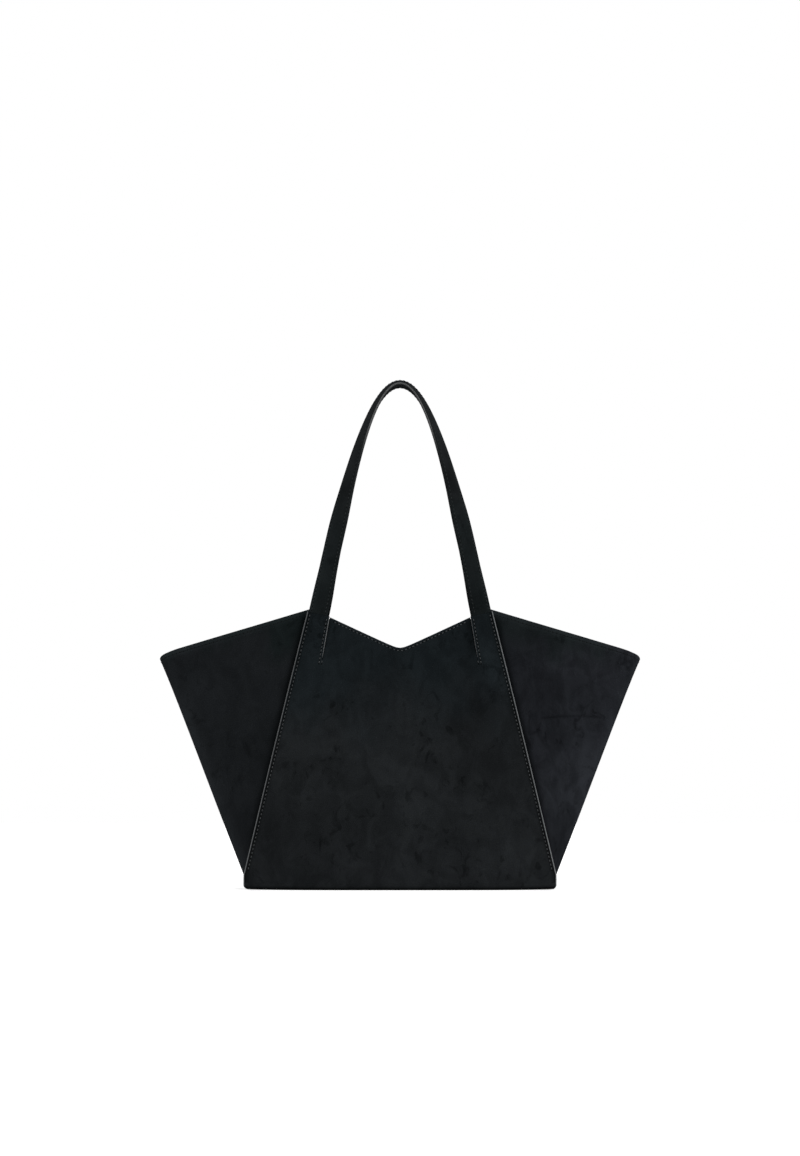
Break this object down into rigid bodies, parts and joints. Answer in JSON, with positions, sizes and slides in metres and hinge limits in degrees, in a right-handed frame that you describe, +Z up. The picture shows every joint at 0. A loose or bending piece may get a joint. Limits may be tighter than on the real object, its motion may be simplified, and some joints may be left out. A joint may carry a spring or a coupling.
{
  "type": "tote bag",
  "caption": "Black suede tote bag with a tapering front, side gussets folded out into wings, a V-cut mouth and twisted strap handles that fall forwards and backwards.",
  "frame": {"origin": "middle of the base, on the ground", "axes": "+X to the right seen from the front, +Y to the back, +Z up"},
  "size_m": [0.486, 0.1388, 0.5149],
  "materials": {
    "suede": "napped black suede with light raw cut edges",
    "strap_suede": "napped black suede, sewn along both edges",
    "facing_suede": "napped black suede",
    "cotton_lining": "black twill cotton",
    "felt_interlining": "grey bonded felt",
    "board": "grey pressed board"
  },
  "bodies": {
    "bag_body": {"front_panel": "suede", "back_panel": "suede", "left_gusset": "suede", "right_gusset": "suede", "front_left_strap_end": "strap_suede", "front_right_strap_end": "strap_suede", "back_left_strap_end": "strap_suede", "back_right_strap_end": "strap_suede", "front_facing": "facing_suede", "back_facing": "facing_suede", "left_facing": "facing_suede", "right_facing": "facing_suede", "front_lining": "cotton_lining", "back_lining": "cotton_lining", "left_lining": "cotton_lining", "right_lining": "cotton_lining", "base_lining": "cotton_lining", "slip_pocket": "cotton_lining", "front_interlining": "felt_interlining", "back_interlining": "felt_interlining", "base_board": "board"},
    "front_handle": {"front_handle_outer": "strap_suede", "front_handle_lining": "strap_suede"},
    "back_handle": {"back_handle_outer": "strap_suede", "back_handle_lining": "strap_suede"}
  },
  "joints": [
    {"name": "front_handle_fall", "type": "hinge", "parent": "bag_body", "child": "front_handle", "pos_m": [0, -0.045, 0.281], "axis": [1, 0, 0], "range_deg": [0, 165]},
    {"name": "back_handle_fall", "type": "hinge", "parent": "bag_body", "child": "back_handle", "pos_m": [0, 0.045, 0.281], "axis": [-1, 0, 0], "range_deg": [0, 165]}
  ]
}
